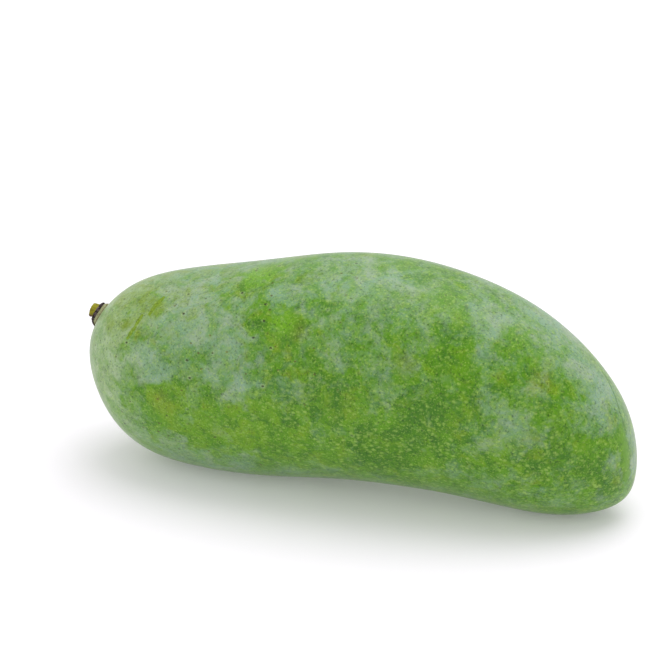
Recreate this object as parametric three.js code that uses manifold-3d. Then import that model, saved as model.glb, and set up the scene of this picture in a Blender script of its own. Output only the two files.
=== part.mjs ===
import * as THREE from 'three';
import * as BufferGeometryUtils from 'three/addons/utils/BufferGeometryUtils.js';
import Module from 'manifold-3d';

// One whole, unpeeled green mango of a long variety, picked, with the stub of its stalk.
// Millimetres, +Z up. +X runs from the stem end to the apex. The back edge is up and the
// two cheeks face -Y and +Y. It lies on its belly edge and on its beak, and the origin is
// on the table under the middle of its box.

// Driving dimensions

// Control points of the fruit's outline from the stem end to the apex: where they stand
// along the fruit, the height of the back edge and of the belly edge over the table, and
// half of the thickness from cheek to cheek. The smooth curves run just inside them.
const STATIONS = [
  { x: -85.5, back: 33.5, belly: 33.5, half: 0 },
  { x: -76.5, back: 49.0, belly: 12.5, half: 18.0 },
  { x: -63.0, back: 57.0, belly: 1.0, half: 26.0 },
  { x: -39.5, back: 61.0, belly: -1.5, half: 28.5 },
  { x: -8.5, back: 71.0, belly: 1.0, half: 30.0 },
  { x: 29.0, back: 70.0, belly: 4.5, half: 27.5 },
  { x: 58.0, back: 57.5, belly: -3.0, half: 25.0 },
  { x: 80.0, back: 36.5, belly: 3.5, half: 13.0 },
  { x: 84.0, back: 13.0, belly: 13.0, half: 0 },
];
// The cheeks are fuller towards the back edge than towards the belly by this share.
const CHEEK_LIFT = 0.06;
// Two slow waves make the skin a little uneven, by these shares of its radius.
const LONG_LUMP = 0.008;
const SHORT_LUMP = 0.005;

// The stub of the stalk: its place as a share of the way to the apex on the back edge,
// how far its axis rises from level, and its radii and lengths.
const STEM_SHARE = 0.0725;
const STEM_RISE = THREE.MathUtils.degToRad(28);
const ROOT_RADIUS = 2.4;
const ROOT_LENGTH = 3.0;
const COLLAR_RADIUS = 3.6;
const COLLAR_LENGTH = 0.6;
const RING_RADIUS = 3.0;
const RING_LENGTH = 0.9;
const KNOB_RADIUS = 2.1;
const KNOB_LENGTH = 1.5;
// The knob leans down towards the belly by this slope, and its end is broken off askew by
// this slope, so that its upper side is the longer one.
const KNOB_LEAN = 0.4;
const KNOB_SLANT = 0.25;
// Clear space between the stub and the skin round it.
const GAP = 0.3;

// Facets round the fruit and along it, and round the stub
const FACETS_ROUND = 48;
const FACETS_ALONG = 60;
const STUB_FACETS = 24;

// Values of a station seen past the fruit's two ends, where the outline comes back on the
// other side. This closes both ends smoothly.
const PAST_THE_END = {
  x: (station) => station.x,
  back: (station) => station.belly,
  belly: (station) => station.back,
  half: (station) => -station.half,
};

function control(key, i) {
  const last = STATIONS.length - 1;
  if (i < 0) return PAST_THE_END[key](STATIONS[-i]);
  if (i > last) return PAST_THE_END[key](STATIONS[2 * last - i]);
  return STATIONS[i][key];
}

// A uniform cubic B-spline through one value of the stations. The share goes from 0 at the
// stem end to 1 at the apex.
function profile(key, share) {
  const spans = STATIONS.length - 1;
  const along = share * spans;
  const i = Math.min(Math.floor(along), spans - 1);
  const f = along - i;
  const weights = [
    (1 - f) ** 3,
    3 * f ** 3 - 6 * f ** 2 + 4,
    -3 * f ** 3 + 3 * f ** 2 + 3 * f + 1,
    f ** 3,
  ];
  return weights.reduce((sum, weight, k) => sum + (weight * control(key, i - 1 + k)) / 6, 0);
}

// The point of the skin that a direction from the middle of a ball stands for. The ball's
// -X pole is the stem end, its +X pole is the apex and its +Z side is the back edge.
function skinPoint(direction) {
  const { x, y, z } = direction;
  const share = Math.acos(THREE.MathUtils.clamp(-x, -1, 1)) / Math.PI;
  const round = Math.hypot(y, z);
  const towardsCheek = round > 0 ? y / round : 0;
  const towardsBack = round > 0 ? z / round : 0;
  const back = profile('back', share);
  const belly = profile('belly', share);
  const swell =
    1 +
    LONG_LUMP * Math.sin(7 * x + 2 * z + 0.6) * Math.cos(3 * y + 1) +
    SHORT_LUMP * Math.sin(11 * x - 5 * y + 2);
  const halfHeight = (swell * (back - belly)) / 2;
  const halfThickness = swell * profile('half', share) * (1 + CHEEK_LIFT * towardsBack);
  return new THREE.Vector3(
    profile('x', share),
    halfThickness * towardsCheek,
    (back + belly) / 2 + halfHeight * towardsBack
  );
}

// The point of the skin at a share of the way to the apex, on the back edge.
function backEdgePoint(share) {
  const turn = Math.PI * share;
  return skinPoint(new THREE.Vector3(-Math.cos(turn), 0, Math.sin(turn)));
}

const wasm = await Module();
wasm.setup();

function toSolid(geometry) {
  const shape = geometry.clone();
  shape.deleteAttribute('normal');
  shape.deleteAttribute('uv');
  const merged = BufferGeometryUtils.mergeVertices(shape, 1e-4);
  const vertProperties = new Float32Array(merged.getAttribute('position').array);
  const triVerts = new Uint32Array(merged.getIndex().array);
  return new wasm.Manifold(new wasm.Mesh({ numProp: 3, vertProperties, triVerts }));
}

function toGeometry(solid) {
  const mesh = solid.getMesh();
  const geometry = new THREE.BufferGeometry();
  geometry.setAttribute('position', new THREE.BufferAttribute(mesh.vertProperties, 3));
  geometry.setIndex(new THREE.BufferAttribute(mesh.triVerts, 1));
  geometry.computeVertexNormals();
  return geometry;
}

// Seat of the stub: its centre on the skin, and a turn that takes +Y to the stub's axis.
const seat = backEdgePoint(STEM_SHARE);
const stemAxis = new THREE.Vector3(-Math.cos(STEM_RISE), 0, Math.sin(STEM_RISE));
const stemTurn = new THREE.Quaternion().setFromUnitVectors(new THREE.Vector3(0, 1, 0), stemAxis);

// The whole fruit: a ball drawn out to the skin, with two small flats where it touches the
// table and a plain socket for the stub.
function makeFruit() {
  const skin = new THREE.SphereGeometry(1, FACETS_ROUND, FACETS_ALONG);
  skin.rotateZ(Math.PI / 2);
  const points = skin.getAttribute('position');
  const direction = new THREE.Vector3();
  for (let i = 0; i < points.count; i += 1) {
    direction.fromBufferAttribute(points, i);
    const point = skinPoint(direction);
    points.setXYZ(i, point.x, point.y, point.z);
  }

  const tableDepth = 10;
  const table = new THREE.BoxGeometry(200, 100, tableDepth);
  table.translate(0, 0, -tableDepth / 2);

  const socketOutside = 4;
  const socketDepth = ROOT_LENGTH + GAP;
  const socket = new THREE.CylinderGeometry(
    ROOT_RADIUS + GAP,
    ROOT_RADIUS + GAP,
    socketDepth + socketOutside,
    STUB_FACETS
  );
  socket.translate(0, (socketOutside - socketDepth) / 2, 0);
  socket.applyQuaternion(stemTurn);
  socket.translate(seat.x, seat.y, seat.z);

  return toGeometry(toSolid(skin).subtract(toSolid(table)).subtract(toSolid(socket)));
}

// The dried stub of the stalk, turned round its axis: a root in the socket, a low collar
// that narrows away from the skin, a thin brittle ring on it, and the leaning knob where
// the stalk broke off.
function makeStub() {
  const collarTop = GAP + COLLAR_LENGTH;
  const ringTop = collarTop + RING_LENGTH;
  const knobTop = ringTop + KNOB_LENGTH;
  const outline = [
    [0, -ROOT_LENGTH],
    [ROOT_RADIUS, -ROOT_LENGTH],
    [ROOT_RADIUS, GAP],
    [COLLAR_RADIUS, GAP],
    [COLLAR_RADIUS - 0.1, GAP + 0.2],
    [RING_RADIUS, collarTop],
    [RING_RADIUS + 0.1, collarTop + 0.1],
    [RING_RADIUS - 0.4, ringTop - 0.1],
    [KNOB_RADIUS + 0.3, ringTop],
    [KNOB_RADIUS, ringTop + 0.2],
    [KNOB_RADIUS, knobTop - 0.6],
    [KNOB_RADIUS - 0.5, knobTop - 0.1],
    [0, knobTop],
  ];
  const stub = new THREE.LatheGeometry(
    outline.map(([radius, height]) => new THREE.Vector2(radius, height)),
    STUB_FACETS
  );

  // The turn onto the stub's axis leaves this direction, up along the skin, as it is.
  const upTheSkin = new THREE.Vector3(Math.sin(STEM_RISE), 0, Math.cos(STEM_RISE));
  const points = stub.getAttribute('position');
  const point = new THREE.Vector3();
  for (let i = 0; i < points.count; i += 1) {
    point.fromBufferAttribute(points, i);
    const overRing = Math.max(point.y - ringTop, 0);
    point.y += (KNOB_SLANT * point.dot(upTheSkin) * overRing) / KNOB_LENGTH;
    point.addScaledVector(upTheSkin, -KNOB_LEAN * overRing);
    points.setXYZ(i, point.x, point.y, point.z);
  }
  stub.computeVertexNormals();
  return stub;
}

const skinMaterial = new THREE.MeshStandardMaterial({
  color: 0x6f9a45,
  roughness: 0.45,
  metalness: 0,
});
const stubMaterial = new THREE.MeshStandardMaterial({
  color: 0x6b5b34,
  roughness: 0.8,
  metalness: 0,
});

const fruit = new THREE.Mesh(makeFruit(), skinMaterial);
fruit.name = 'mango_fruit';

const stub = new THREE.Mesh(makeStub(), stubMaterial);
stub.name = 'stem_stub';
stub.quaternion.copy(stemTurn);
stub.position.copy(seat);

const group = new THREE.Group();
group.add(fruit, stub);

// The fruit is moved so that the origin is under the middle of its box.
const box = new THREE.Box3().setFromObject(group, true);
group.position.set(-(box.min.x + box.max.x) / 2, -(box.min.y + box.max.y) / 2, 0);
group.updateMatrixWorld(true);

export default group;
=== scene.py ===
# One whole green mango of a long variety, with the stub of its stalk, on a pale table.
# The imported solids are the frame. Lengths are metres, +Z is up, +X runs from the stem end
# to the apex, the back edge is up and the near cheek faces -Y.
import math

import bmesh
import bpy
from mathutils import Matrix, Vector, noise


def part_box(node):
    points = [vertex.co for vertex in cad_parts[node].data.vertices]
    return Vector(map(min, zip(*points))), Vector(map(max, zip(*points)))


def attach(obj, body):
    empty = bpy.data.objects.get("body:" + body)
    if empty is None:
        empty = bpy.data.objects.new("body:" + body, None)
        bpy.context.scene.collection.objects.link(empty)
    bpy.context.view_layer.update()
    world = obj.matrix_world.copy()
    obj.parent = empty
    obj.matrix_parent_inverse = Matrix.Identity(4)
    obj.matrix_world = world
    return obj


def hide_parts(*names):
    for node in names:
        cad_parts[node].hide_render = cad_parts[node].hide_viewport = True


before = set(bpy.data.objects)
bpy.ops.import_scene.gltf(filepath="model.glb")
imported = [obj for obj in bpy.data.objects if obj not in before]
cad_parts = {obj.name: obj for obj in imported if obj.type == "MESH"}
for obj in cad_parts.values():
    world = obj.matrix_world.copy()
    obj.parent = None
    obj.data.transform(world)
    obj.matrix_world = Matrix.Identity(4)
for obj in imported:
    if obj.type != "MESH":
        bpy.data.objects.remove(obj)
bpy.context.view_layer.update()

# Camera
# It stands a little to the right of square on to the near cheek and looks down on it.
MM = 0.001
CAMERA_TURN = math.radians(18)
CAMERA_RISE = math.radians(24)
CAMERA_DISTANCE = 0.95
CAMERA_TARGET = Vector((-8.19, 0, 46.4)) * MM
CAMERA_LENS = 178.6

towards_camera = Vector(
    (
        math.sin(CAMERA_TURN) * math.cos(CAMERA_RISE),
        -math.cos(CAMERA_TURN) * math.cos(CAMERA_RISE),
        math.sin(CAMERA_RISE),
    )
)
camera = bpy.data.objects.new("camera", bpy.data.cameras.new("camera"))
camera.data.sensor_width = 36
camera.data.lens = CAMERA_LENS
camera.data.clip_end = 20
camera.location = CAMERA_TARGET + CAMERA_DISTANCE * towards_camera
camera.rotation_euler = towards_camera.to_track_quat("Z", "Y").to_euler()
bpy.context.collection.objects.link(camera)
bpy.context.scene.camera = camera

# Table
# A wide, plain white table top under the fruit. It glows a little, so that the shadow on it
# stays as pale as on a lit studio table.
FLOOR_SIZE = 6.0
FLOOR_WHITE = (0.85, 0.82, 0.87, 1)
FLOOR_GLOW = 0.16


class Shade:
    """A socket of a node tree. Arithmetic on it adds Math nodes to the tree."""

    def __init__(self, socket):
        self.socket = socket

    def node(self, kind, settings, inputs, output=0):
        """Adds a node to this socket's tree: its settings, then its sockets."""
        return add_node(self.socket.id_data, kind, settings, inputs, output)

    def math(self, operation, *values, clamp=False):
        settings = {"operation": operation, "use_clamp": clamp}
        return self.node("ShaderNodeMath", settings, dict(enumerate(values)))

    def vector(self, operation, *values, output="Vector"):
        settings = {"operation": operation}
        return self.node("ShaderNodeVectorMath", settings, dict(enumerate(values)), output)

    def __add__(self, other):
        return self.math("ADD", self, other)

    def __sub__(self, other):
        return self.math("SUBTRACT", self, other)

    def __rsub__(self, other):
        return self.math("SUBTRACT", other, self)

    def __mul__(self, other):
        return self.math("MULTIPLY", self, other)

    __radd__ = __add__
    __rmul__ = __mul__


def add_node(tree, kind, settings, inputs, output=0):
    """Adds a node with its settings, then its sockets' values or links, and wraps an output."""
    made = tree.nodes.new(kind)
    for name, value in settings.items():
        setattr(made, name, value)
    for key, value in inputs.items():
        if isinstance(value, Shade):
            tree.links.new(value.socket, made.inputs[key])
        else:
            made.inputs[key].default_value = value
    return Shade(made.outputs[output])


def new_material(name, **settings):
    """A material, its tree and its shader, with the shader's constant values."""
    material = bpy.data.materials.new(name)
    material.use_nodes = True
    shader = material.node_tree.nodes["Principled BSDF"]
    for socket, value in settings.items():
        shader.inputs[socket.replace("_", " ")].default_value = value
    return material, material.node_tree, shader


def new_piece(name, mesh):
    """An object with the mesh that bmesh made."""
    piece = bpy.data.objects.new(name, bpy.data.meshes.new(name))
    mesh.to_mesh(piece.data)
    mesh.free()
    bpy.context.collection.objects.link(piece)
    return piece


floor_mesh = bmesh.new()
bmesh.ops.create_grid(floor_mesh, x_segments=1, y_segments=1, size=FLOOR_SIZE / 2)
floor = new_piece("table_top", floor_mesh)
floor_finish, _, _ = new_material(
    "white_table",
    Base_Color=FLOOR_WHITE,
    Roughness=0.9,
    Specular_IOR_Level=0.1,
    Emission_Color=(1, 1, 1, 1),
    Emission_Strength=FLOOR_GLOW,
)
floor.data.materials.append(floor_finish)

# Light
# The room gives a strong even light. One broad soft box hangs over the fruit and a little
# behind it, and a weak one stands in front on the left.
ROOM_LIGHT = 0.8
KEY_SIZE = 1.1
KEY_POWER = 8
KEY_PLACE = Vector((0.15, 0.3, 1.2))
FILL_SIZE = 0.8
FILL_POWER = 1.0
FILL_PLACE = Vector((-0.9, -1.0, 0.7))
LIGHT_TARGET = Vector((0, 0, 0.03))


def soft_box(name, size, power, place):
    light = bpy.data.objects.new(name, bpy.data.lights.new(name, "AREA"))
    light.data.shape = "SQUARE"
    light.data.size = size
    light.data.energy = power
    light.location = place
    light.rotation_euler = (place - LIGHT_TARGET).to_track_quat("Z", "Y").to_euler()
    bpy.context.collection.objects.link(light)


soft_box("key_light", KEY_SIZE, KEY_POWER, KEY_PLACE)
soft_box("fill_light", FILL_SIZE, FILL_POWER, FILL_PLACE)

room = bpy.data.worlds.new("room")
bpy.context.scene.world = room
room.use_nodes = True
backdrop = room.node_tree.nodes["Background"]
backdrop.inputs["Color"].default_value = (1, 1, 1, 1)
seen = add_node(room.node_tree, "ShaderNodeLightPath", {}, {}, "Is Camera Ray")
room_strength = ROOM_LIGHT + (1.0 - ROOM_LIGHT) * seen
room.node_tree.links.new(room_strength.socket, backdrop.inputs["Strength"])
bpy.context.scene.view_settings.view_transform = "Standard"

# Fruit
# The whole fruit grew as one piece. A ball of fine faces is drawn out to the same curves as
# the solid, and pressed flat where the fruit lies on the table. Its skin is green, with a
# grey-blue wax bloom that is rubbed off in places, and pale pores all over.
# Each row is a control point of the outline in millimetres: along the fruit, the heights of
# the back edge and of the belly edge, and half of the thickness from cheek to cheek.
STATIONS = (
    (-85.5, 33.5, 33.5, 0),
    (-76.5, 49.0, 12.5, 18.0),
    (-63.0, 57.0, 1.0, 26.0),
    (-39.5, 61.0, -1.5, 28.5),
    (-8.5, 71.0, 1.0, 30.0),
    (29.0, 70.0, 4.5, 27.5),
    (58.0, 57.5, -3.0, 25.0),
    (80.0, 36.5, 3.5, 13.0),
    (84.0, 13.0, 13.0, 0),
)
CHEEK_LIFT = 0.06
LONG_LUMP = 0.008
SHORT_LUMP = 0.005
BALL_DIVISIONS = 7


def station(i):
    """A row of the outline. Past either end the outline comes back on its other side."""
    last = len(STATIONS) - 1
    if 0 <= i <= last:
        return STATIONS[i]
    x, back, belly, half = STATIONS[-i if i < 0 else 2 * last - i]
    return (x, belly, back, -half)


def profile(share):
    """The uniform cubic B-spline through the stations, from the stem end, 0, to the apex, 1."""
    spans = len(STATIONS) - 1
    i = min(int(share * spans), spans - 1)
    f = share * spans - i
    weights = (
        (1 - f) ** 3,
        3 * f**3 - 6 * f**2 + 4,
        -3 * f**3 + 3 * f**2 + 3 * f + 1,
        f**3,
    )
    rows = [station(i - 1 + k) for k in range(4)]
    return [sum(w * row[n] for w, row in zip(weights, rows)) / 6 for n in range(4)]


def skin_point(direction):
    """The point of the skin that a direction from the middle of the ball stands for."""
    x, y, z = direction
    along, back, belly, half = profile(math.acos(max(-1, min(1, -x))) / math.pi)
    distance = math.hypot(y, z) or 1
    to_cheek = y / distance
    to_back = z / distance
    swell = (
        1
        + LONG_LUMP * math.sin(7 * x + 2 * z + 0.6) * math.cos(3 * y + 1)
        + SHORT_LUMP * math.sin(11 * x - 5 * y + 2)
    )
    return MM * Vector(
        (
            along,
            swell * half * (1 + CHEEK_LIFT * to_back) * to_cheek,
            (back + belly) / 2 + swell * (back - belly) / 2 * to_back,
        )
    )


skin_mesh = bmesh.new()
bmesh.ops.create_icosphere(skin_mesh, subdivisions=BALL_DIVISIONS, radius=1)
for vert in skin_mesh.verts:
    vert.co = skin_point(vert.co)
    vert.co.z = max(vert.co.z, 0)
for face in skin_mesh.faces:
    face.smooth = True
node_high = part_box("mango_fruit")[1]
to_frame = Vector(
    (
        node_high.x - max(vert.co.x for vert in skin_mesh.verts),
        node_high.y - max(vert.co.y for vert in skin_mesh.verts),
        0,
    )
)
bmesh.ops.translate(skin_mesh, verts=skin_mesh.verts, vec=to_frame)
skin = new_piece("mango_skin", skin_mesh)


def colour(red, green, blue):
    """A colour as a screen shows it, from 0 to 255, as the shader's linear one."""
    shares = [channel / 255 for channel in (red, green, blue)]
    linear = [s / 12.92 if s <= 0.04045 else ((s + 0.055) / 1.055) ** 2.4 for s in shares]
    return (*linear, 1.0)


GREEN = colour(87, 142, 2)
DEEP_GREEN = colour(52, 108, 6)
YELLOW_GREEN = colour(110, 155, 2)
FRESH_GREEN = colour(106, 162, 4)
BARE_GREEN = colour(98, 150, 0)
OLIVE = colour(120, 142, 16)
RUSSET = colour(146, 128, 44)
GREY_BLOOM = colour(148, 169, 143)
PALE_BLOOM = colour(174, 196, 142)
BLUE_BLOOM = colour(130, 163, 134)
PORE = colour(156, 190, 88)
SPECK = colour(38, 34, 20)
BROWN_SPECK = colour(84, 66, 30)
FLECK = colour(166, 200, 92)
PIT = colour(26, 52, 12)

# Places of the skin in millimetres in the part's frame, each with a radius. Those on the near
# cheek stand about where the real fruit has them, and those on the far cheek are made up. The
# first ones also say how much thicker the bloom is there, or how far it is rubbed off. A few of
# them thicken the bloom along the outline, as a painted reflection on the rim.
BLOOM_AND_RIM_SHEEN_PLACES = (
    ((-27, -6, 64), 9, -0.40),
    ((-15, -23, 57), 9, -0.40),
    ((-34, -14, 60), 6, -0.25),
    ((-62, -11, 53), 7, -0.20),
    ((-56, -27, 28), 10, -0.42),
    ((-41, -27, 24), 13, -0.40),
    ((-33, -28, 33), 8, -0.22),
    ((-17, -28, 24), 14, -0.38),
    ((3, -29, 39), 9, -0.34),
    ((15, -26, 22), 15, -0.28),
    ((29, -27, 34), 13, -0.20),
    ((36, -23, 51), 9, -0.16),
    ((49, -21, 49), 4, -0.25),
    ((50, -11, 58), 5, -0.35),
    ((30, -14, 64), 7, -0.20),
    ((60, -23, 29), 9, -0.20),
    ((72, -17, 22), 12, -0.20),
    ((74.6, -14.8, 27), 4, -0.25),
    ((76.5, -5, 37), 4, -0.20),
    ((79.5, -11, 21), 5, 0.42),
    ((73, -15, 15), 6, 0.12),
    ((-68, -21, 35), 9, 0.22),
    ((-56, -25, 39), 7, 0.26),
    ((-67, -16, 47), 9, 0.10),
    ((-37, -20, 53), 9, 0.18),
    ((-28, -28, 41), 7, 0.32),
    ((-13, -28, 44), 12, 0.06),
    ((-24, -17, 60), 5, -0.15),
    ((-14, -16, 63), 7, 0.36),
    ((5, -10, 68), 13, 0.30),
    ((20, -7, 68), 9, 0.20),
    ((-3, -25, 54), 6, 0.26),
    ((15, -27, 46), 7, 0.18),
    ((23, -24, 55), 6, -0.12),
    ((43, -13, 60), 7, 0.20),
    ((43, -2, 64), 14, 0.18),
    ((60, -4, 53), 11, 0.42),
    ((63, -13, 47), 6, -0.20),
    # Painted reflection: pale bloom along the back edge's outline.
    ((56, 10, 53), 12, 0.60),
    ((73, -5, 41), 10, 0.72),
    # Painted reflection: pale bloom along the outline by the apex.
    ((81.5, -1.5, 26), 4, 0.60),
    ((82.6, -2, 18), 4, 0.90),
    ((82, 5, 22), 7, 0.60),
    ((56, -23, 37), 11, 0.20),
    ((80, -9, 13), 6, 0.05),
    ((-20, 26, 40), 24, 0.20),
    ((46, 22, 46), 20, 0.25),
    ((12, 28, 30), 18, -0.20),
    ((-60, 20, 30), 14, -0.15),
)
# Deep green places. Those low on the near cheek are partly painted shade, where shade falls on
# the lower cheek.
DEEP_GREEN_AND_SHADE_PLACES = (
    ((-13, -23, 57), 6),
    ((-9, -28, 46), 8),
    ((-11, -28, 40), 8),
    ((0, -29, 40), 9),
    ((27, -27, 33), 13),
    ((14, -26, 22), 13),
    ((43, -26, 33), 9),
    ((62, -22, 27), 10),
    ((76, -14, 17), 7),
    ((-30, 27, 34), 13),
)
FRESH_PLACES = (
    ((-27, -5, 64), 7),
    ((-15, -22, 57), 5),
)
# A bare, fresh green streak runs down the apex.
BARE_PLACES = (
    ((80.0, -6.4, 28.3), 2.2),
    ((80.9, -5.8, 25.7), 2.2),
    ((81.3, -6.2, 22.9), 2.2),
    ((81.6, -6.5, 20.0), 2.2),
    ((82.0, -6.0, 16.8), 2.0),
)
YELLOW_PLACES = (
    ((-44, -28, 27), 11),
    ((-26, -28, 28), 13),
    ((50, -25, 28), 7),
    ((12, 28, 30), 20),
)
OLIVE_PLACES = (
    ((-65, -12, 50), 13),
    ((-45, -12, 58), 9),
    ((57, -16, 49), 6),
    ((76.5, -6, 35), 5),
    ((30, 27, 44), 14),
)
RUSSET_PLACES = (
    ((-10, -24, 56), 3.5),
    ((22, -25, 51), 4),
    ((59, -16, 47), 3.5),
    ((-51, -27, 30), 4),
    ((-32, 9, 62), 3),
    ((-18, 4, 67), 3),
    ((-6, 29, 40), 5),
)
# Fine scratches through the bloom, and the painted shade of a thin crease by the apex, piece
# by piece with the two ends of each piece.
SCRATCHES = (
    ((-55.4, -11.4, 55.4), (-56.9, -13.4, 53.9)),
    ((-56.9, -13.4, 53.9), (-57.9, -16.0, 51.9)),
    ((-60.3, -16.2, 50.9), (-61.6, -18.6, 48.1)),
    ((-61.6, -18.6, 48.1), (-63.3, -20.2, 45.1)),
    ((10, 27, 50), (22, 27, 44)),
    ((-40, 28, 30), (-34, 28, 40)),
)
SCRATCH_WIDTH = 0.8
CREASE_SHADE_LINES = (
    ((72.5, 2.9, 42.5), (76.1, 0.3, 38.1)),
    ((76.1, 0.3, 38.1), (78.4, -2.2, 34.1)),
    ((78.4, -2.2, 34.1), (80.7, -3.3, 28.3)),
)
CREASE_SHADE_WIDTH = 0.6

skin_finish, skin_tree, skin_shader = new_material(
    "mango_skin_with_bloom", IOR=1.36, Sheen_Weight=0.15, Sheen_Roughness=0.35
)
place = add_node(skin_tree, "ShaderNodeTexCoord", {}, {}, "Object")
place = place.vector("MULTIPLY", place, (1 / MM, 1 / MM, 1 / MM))


def clouds(size, seed, at=place, detail=5.0, roughness=0.6, output="Fac"):
    """Cloudy noise about 0.5, whose blotches are about size millimetres across."""
    settings = {"noise_dimensions": "4D"}
    inputs = {
        "Vector": at,
        "W": seed,
        "Scale": 1 / size,
        "Detail": detail,
        "Roughness": roughness,
    }
    return at.node("ShaderNodeTexNoise", settings, inputs, output)


def step(value, low, high):
    """0 below low and 1 above high, or the other way round where high is below low."""
    inputs = {"Value": value, "From Min": low, "From Max": high}
    return value.node("ShaderNodeMapRange", {"interpolation_type": "SMOOTHSTEP"}, inputs)


def cover(below, share, above):
    """The colour below, covered to a share by the colour above."""
    settings = {"data_type": "RGBA", "clamp_factor": True}
    return share.node("ShaderNodeMix", settings, {0: share, 6: below, 7: above}, 2)


def bend(amount, size, seed):
    """The place, swayed by up to about a quarter of the amount, in millimetres."""
    swirl = clouds(size, seed, detail=2.5, output="Color")
    sway = place.vector("SUBTRACT", swirl, (0.5, 0.5, 0.5))
    return place.vector("MULTIPLY_ADD", sway, (amount, amount, amount), place)


bent = bend(16, 8, 1)
fine_bent = bend(4, 2.5, 2)
hardly_bent = bend(1.2, 2.5, 2)
# Patches up to this radius are swayed less, so that they keep their place.
SMALL_PATCH = 5.5


def patch(middle, radius):
    """1 in the middle of a spot and 0 past it, with a soft, wandering edge."""
    swayed = bent if radius > SMALL_PATCH else fine_bent
    away = swayed.vector("DISTANCE", swayed, middle, output="Value")
    return step(away, 1.3 * radius, 0.3 * radius)


def patches(spots):
    """1 on any of the spots and 0 past them."""
    total = patch(*spots[0])
    for spot in spots[1:]:
        total = total.math("MAXIMUM", total, patch(*spot))
    return total


def line(start, end, width):
    """1 along the line from start to end and 0 beside it."""
    way = Vector(end) - Vector(start)
    from_start = hardly_bent.vector("SUBTRACT", hardly_bent, start)
    along = from_start.vector("DOT_PRODUCT", from_start, way, output="Value")
    along = along.math("MULTIPLY", along, 1 / way.length_squared, clamp=True)
    foot = from_start.vector("MULTIPLY_ADD", along, way, start)
    off = hardly_bent.vector("DISTANCE", hardly_bent, foot, output="Value")
    return step(off, width, 0.3 * width)


def lines(ends, width):
    """1 along any of the lines and 0 beside them."""
    total = line(*ends[0], width)
    for start, end in ends[1:]:
        total = total.math("MAXIMUM", total, line(start, end, width))
    return total


scratches = lines(SCRATCHES, SCRATCH_WIDTH)

# The green under the bloom: darker and yellower clouds, olive towards the stem end.
along_fruit = place.node("ShaderNodeSeparateXYZ", {}, {"Vector": place}, "X")
height = place.node("ShaderNodeSeparateXYZ", {}, {"Vector": place}, "Z")
stem_end = step(along_fruit, 0, -50)
# Darker green in clouds, laid on thicker at the deep places, partly as painted shade.
deep_green_and_shade = step(clouds(4, 3, bent) + 0.12 * patches(DEEP_GREEN_AND_SHADE_PLACES), 0.42, 0.68)
ground = cover(GREEN, 0.85 * deep_green_and_shade, DEEP_GREEN)
yellow = step(clouds(5, 4, bent) + 0.14 * patches(YELLOW_PLACES), 0.46, 0.72)
ground = cover(ground, 0.70 * yellow, YELLOW_GREEN)
shoulder = stem_end * step(height, 36, 52)
olive = step(clouds(5, 5, bent) + 0.13 * shoulder + 0.16 * patches(OLIVE_PLACES), 0.54, 0.80)
ground = cover(ground, 0.75 * olive.math("MAXIMUM", olive, scratches), OLIVE)
ground = cover(ground, 0.18 * patches(RUSSET_PLACES), RUSSET)
ground = cover(ground, 0.8 * patches(FRESH_PLACES), FRESH_GREEN)
bare = patches(BARE_PLACES)

# The bloom: thick and thin clouds of it, wiped off along the scratches and on the bare
# streak. It lies thicker on top and towards the stem end, and along parts of the outline it is
# a painted reflection on the rim.
thickness = 0.08 + 0.32 * stem_end + 0.18 * step(height, 45, 66) - 0.6 * scratches - 1.5 * bare
for middle, radius, amount in BLOOM_AND_RIM_SHEEN_PLACES:
    thickness = thickness + amount * patch(middle, radius)
streaks = (
    0.56 * (step(clouds(7, 6, bent), 0.32, 0.68) - 0.5)
    + 0.34 * (step(clouds(3, 7, fine_bent), 0.34, 0.66) - 0.5)
    + 0.42 * (clouds(1.3, 8) - 0.5)
)
bloom_and_rim_sheen = step(thickness + 0.92 * streaks, -0.1, 1.0)
bloom_colour = cover(BLUE_BLOOM, step(clouds(6, 9, bent), 0.42, 0.60), GREY_BLOOM)
bloom_colour = cover(bloom_colour, 0.6 * step(along_fruit, -50, -72), PALE_BLOOM)
skin_colour = cover(ground, bloom_and_rim_sheen, bloom_colour)
# Painted shade: a dark green line along the thin crease by the apex, which the shape does not
# have.
skin_colour = cover(skin_colour, 0.7 * lines(CREASE_SHADE_LINES, CREASE_SHADE_WIDTH), DEEP_GREEN)

# Pores: pale dots all over, and a few dark specks, some with a pale rim, with smaller brown
# ones among them. Spacings and radii are in millimetres. All of them are a third longer along
# the fruit than across it, because the pattern's place is squeezed along it to this share.
PORE_STRETCH = 0.75
PORE_SPACING = 1.45
PORE_RADIUS = 0.42
SPECK_SPACING = 4.6
SPECK_RADIUS = 0.31
RIM_RADIUS = 0.66
BROWN_SPACING = 3.7
BROWN_RADIUS = 0.30
PORE_SEED = 0
SPECK_SEED = 20
BROWN_SEED = 40


def dots(spacing, radius, seed, edge=0.6):
    """1 on round dots scattered about a spacing apart, with soft edges, and 0 past them."""
    shifted = place.vector("ADD", place, (seed, seed, seed))
    shifted = shifted.vector("MULTIPLY", shifted, (PORE_STRETCH, 1, 1))
    cell = {"Vector": shifted, "Scale": 1 / spacing, "Randomness": 0.95}
    away = spacing * place.node("ShaderNodeTexVoronoi", {}, cell, "Distance")
    return step(away, radius * (1 + edge), radius * (1 - edge))


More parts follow.
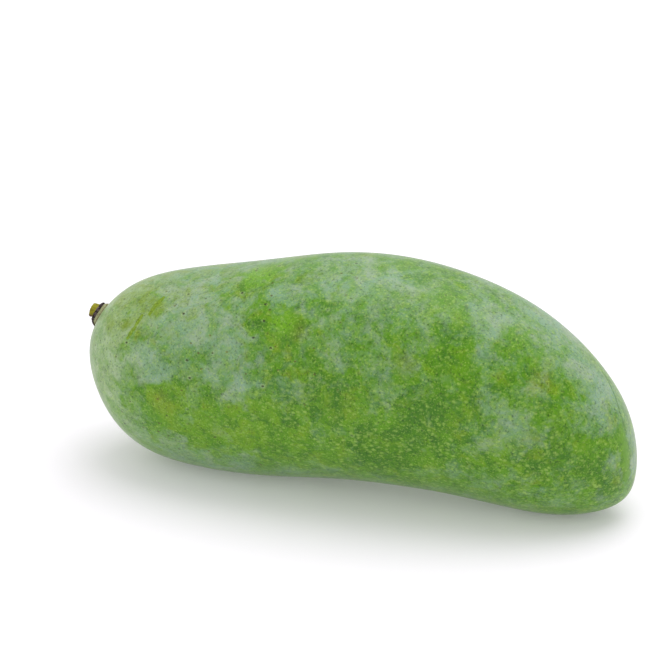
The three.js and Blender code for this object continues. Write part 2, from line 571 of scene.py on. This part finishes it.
pores = dots(PORE_SPACING, PORE_RADIUS, PORE_SEED)
pore_strength = (0.6 + 0.3 * step(height, 52, 34)) * (1 - 0.5 * stem_end)
pore_strength = pore_strength * step(clouds(2.5, 10), 0.30, 0.62)
skin_colour = cover(skin_colour, 0.65 * pores * pore_strength, PORE)
speckled = step(along_fruit, 40, -20) * step(clouds(9, 11), 0.38, 0.48)
rimmed = speckled * step(clouds(4, 16), 0.42, 0.60)
rims = dots(SPECK_SPACING, RIM_RADIUS, SPECK_SEED, 0.4)
specks = dots(SPECK_SPACING, SPECK_RADIUS, SPECK_SEED, 0.4)
brown_specks = dots(BROWN_SPACING, BROWN_RADIUS, BROWN_SEED, 0.4)
skin_colour = cover(skin_colour, 0.40 * rims * rimmed, PALE_BLOOM)
skin_colour = cover(skin_colour, 0.90 * specks * speckled, SPECK)
skin_colour = cover(skin_colour, 0.75 * brown_specks * speckled, BROWN_SPECK)

# Tiny flecks of wax, and pits, but none on the bare streak
flecks = step(clouds(0.55, 12, detail=2), 0.50, 0.75)
pits = step(clouds(0.6, 13, detail=2), 0.50, 0.75)
skin_colour = cover(skin_colour, 0.52 * flecks, FLECK)
skin_colour = cover(skin_colour, 0.58 * pits, PIT)
skin_colour = cover(skin_colour, 0.8 * bare, BARE_GREEN)

# The skin is faintly dimpled, and the pores stand a little proud of it, by these heights in
# millimetres.
DIMPLE_HEIGHT = 0.10
GRAIN_HEIGHT = 0.06
PORE_HEIGHT = 0.012
dimples = DIMPLE_HEIGHT * clouds(5, 14, detail=2)
grains = GRAIN_HEIGHT * clouds(0.8, 15, detail=2)
relief = dimples + grains + PORE_HEIGHT * pores
bump_inputs = {"Height": relief, "Strength": 1.0, "Distance": MM}
skin_normal = relief.node("ShaderNodeBump", {}, bump_inputs)

for socket, value in (
    ("Base Color", skin_colour),
    ("Roughness", 0.32 + 0.16 * bloom_and_rim_sheen),
    ("Normal", skin_normal),
):
    skin_tree.links.new(value.socket, skin_shader.inputs[socket])
skin.data.materials.append(skin_finish)
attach(skin, "root")
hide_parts("mango_fruit")

# Stub of the stalk
# The dried end of the stalk, broken off when the fruit was picked: a low, streaky collar
# that narrows away from the skin, a dark brittle ring round its top, and the leaning olive
# knob of the stalk itself. It grew out of the skin, so its foot is sunk in it.
STEM_SHARE = 0.0725
STEM_RISE = math.radians(28)
STUB_SEGMENTS = 120
# Radius and height over the skin of the turned outline, in millimetres, from the foot up
STUB_OUTLINE = (
    (0.0, -1.2),
    (3.8, -1.2),
    (3.7, -0.4),
    (3.55, 0.0),
    (3.3, 0.4),
    (3.05, 0.75),
    (3.1, 0.9),
    (3.1, 1.2),
    (2.95, 1.45),
    (2.8, 1.65),
    (2.5, 1.8),
    (2.2, 1.8),
    (2.08, 2.05),
    (2.12, 2.6),
    (2.05, 3.05),
    (1.8, 3.25),
    (1.45, 3.28),
    (1.1, 3.18),
    (0.5, 3.05),
    (0.0, 3.03),
)
COLLAR_TOP = 0.75
RING_TOP = 1.8
KNOB_LENGTH = 1.5
# The knob leans down towards the belly and its end is broken off askew, by these slopes.
KNOB_LEAN = 0.4
KNOB_SLANT = 0.25
# The ring's outside, past this radius, is worn down a little and chipped.
RING_INSIDE = 2.5
RING_WEAR = 0.1
CHIP_DEPTH = 0.35
# A flake of the ring stands out at its lower side, by this much, and tapers away on both
# sides over this change in the cosine of the way round.
FLAKE_LENGTH = 1.8
FLAKE_SPREAD = 0.06
# Heights of the flutes up the stub, and of the bumps on its collar and above it
FLUTE_HEIGHT = 0.18
COLLAR_BUMP = 0.05
TOP_BUMP = 0.14

turn = math.pi * STEM_SHARE
seat = skin_point(Vector((-math.cos(turn), 0, math.sin(turn)))) + to_frame
stem_axis = Vector((-math.cos(STEM_RISE), 0, math.sin(STEM_RISE)))

stub_mesh = bmesh.new()
outline_verts = [stub_mesh.verts.new((r * MM, 0, h * MM)) for r, h in STUB_OUTLINE]
outline_edges = [stub_mesh.edges.new(pair) for pair in zip(outline_verts, outline_verts[1:])]
bmesh.ops.subdivide_edges(stub_mesh, edges=outline_edges, cuts=2)
bmesh.ops.spin(
    stub_mesh,
    geom=stub_mesh.verts[:] + stub_mesh.edges[:],
    cent=(0, 0, 0),
    axis=(0, 0, 1),
    angle=2 * math.pi,
    steps=STUB_SEGMENTS,
    use_merge=True,
)
bmesh.ops.remove_doubles(stub_mesh, verts=stub_mesh.verts, dist=0.005 * MM)
# The place on the plain turned stub, kept for the finish
stalk_layer = stub_mesh.verts.layers.float_vector.new("stalk_place")
for vert in stub_mesh.verts:
    # Flutes run up it, the ring is cracked and chipped, and the broken end is rough.
    at = vert.co / MM
    vert[stalk_layer] = at
    around = Vector((at.x, at.y, 0)).normalized()
    chip = noise.noise(9 * around + Vector((0, 0, 1.2 * at.z)))
    out = FLUTE_HEIGHT * noise.noise(5 * around + Vector((0, 0, 0.4 * at.z)))
    up = (TOP_BUMP if at.z > COLLAR_TOP else COLLAR_BUMP) * noise.noise(2.2 * at)
    if COLLAR_TOP < at.z < RING_TOP and at.xy.length > RING_INSIDE:
        flake = max(0, 1 - (1 + around.x) / FLAKE_SPREAD)
        out += CHIP_DEPTH * chip - RING_WEAR + FLAKE_LENGTH * flake
        up -= 0.5 * FLAKE_LENGTH * flake
    over_ring = max(at.z - RING_TOP, 0)
    up += KNOB_SLANT * at.x * over_ring / KNOB_LENGTH
    vert.co += MM * (out * around + Vector((-KNOB_LEAN * over_ring, 0, up)))
for face in stub_mesh.faces:
    face.smooth = True
bmesh.ops.recalc_face_normals(stub_mesh, faces=stub_mesh.faces)
upright = Vector((0, 0, 1)).rotation_difference(stem_axis).to_matrix().to_4x4()
bmesh.ops.transform(
    stub_mesh, matrix=Matrix.Translation(seat) @ upright, verts=stub_mesh.verts
)
stub = new_piece("stalk_stub", stub_mesh)

COLLAR_BEIGE = colour(158, 162, 118)
COLLAR_STREAK_AND_SHADE = colour(104, 96, 62)
RING_BLACK = colour(34, 24, 20)
RING_FLAKE = colour(120, 102, 104)
KNOB_OLIVE = colour(148, 144, 22)
KNOB_SHADE = colour(108, 102, 20)
KNOB_BROWN = colour(100, 76, 44)
PITH = colour(150, 132, 88)

stub_finish, stub_tree, stub_shader = new_material("dried_stalk", Specular_IOR_Level=0.3)
stalk_name = {"attribute_type": "GEOMETRY", "attribute_name": "stalk_place"}
stalk_place = add_node(stub_tree, "ShaderNodeAttribute", stalk_name, {}, "Vector")
streak_place = stalk_place.vector("MULTIPLY", stalk_place, (1, 1, 0.25))
flat_place = stalk_place.vector("MULTIPLY", stalk_place, (1, 1, 0))
from_axis = flat_place.vector("LENGTH", flat_place, output="Value")
stalk_axes = {"Vector": stalk_place}
up_side = stalk_place.node("ShaderNodeSeparateXYZ", {}, stalk_axes, "X")
up_stalk = stalk_place.node("ShaderNodeSeparateXYZ", {}, stalk_axes, "Z")
up_stalk = up_stalk + 0.4 * (clouds(0.9, 1, stalk_place) - 0.5)

streak = clouds(0.5, 2, streak_place)
grain = clouds(0.35, 3, stalk_place)
stub_colour = cover(COLLAR_BEIGE, 0.9 * step(streak, 0.48, 0.60), COLLAR_STREAK_AND_SHADE)
# Painted shade: the collar's foot is darkened where it meets the skin.
stub_colour = cover(stub_colour, 0.6 * step(up_stalk, 0.25, -0.15), COLLAR_STREAK_AND_SHADE)
ring_colour = cover(RING_BLACK, step(clouds(0.6, 4, stalk_place), 0.50, 0.62), RING_FLAKE)
stub_colour = cover(stub_colour, step(up_stalk, COLLAR_TOP - 0.1, COLLAR_TOP + 0.1), ring_colour)
knob_colour = cover(KNOB_OLIVE, 0.8 * step(clouds(0.9, 5, streak_place), 0.46, 0.62), KNOB_SHADE)
knob_brown = clouds(1.1, 6, stalk_place) + 0.2 * step(up_side, 0, -2)
knob_colour = cover(knob_colour, step(knob_brown, 0.58, 0.70), KNOB_BROWN)
knob_end = step(up_stalk, 2.75, 2.95) * step(from_axis, 1.8, 1.4)
knob_colour = cover(knob_colour, knob_end, cover(PITH, step(grain, 0.45, 0.6), KNOB_BROWN))
stub_colour = cover(stub_colour, step(up_stalk, RING_TOP - 0.05, RING_TOP + 0.1), knob_colour)
stub_relief = 0.25 * streak + 0.2 * grain
stub_bump = {"Height": stub_relief, "Strength": 1.0, "Distance": MM}
stub_normal = stub_relief.node("ShaderNodeBump", {}, stub_bump)
for socket, value in (
    ("Base Color", stub_colour),
    ("Roughness", 0.55 + 0.3 * grain),
    ("Normal", stub_normal),
):
    stub_tree.links.new(value.socket, stub_shader.inputs[socket])
stub.data.materials.append(stub_finish)
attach(stub, "root")
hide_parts("stem_stub")
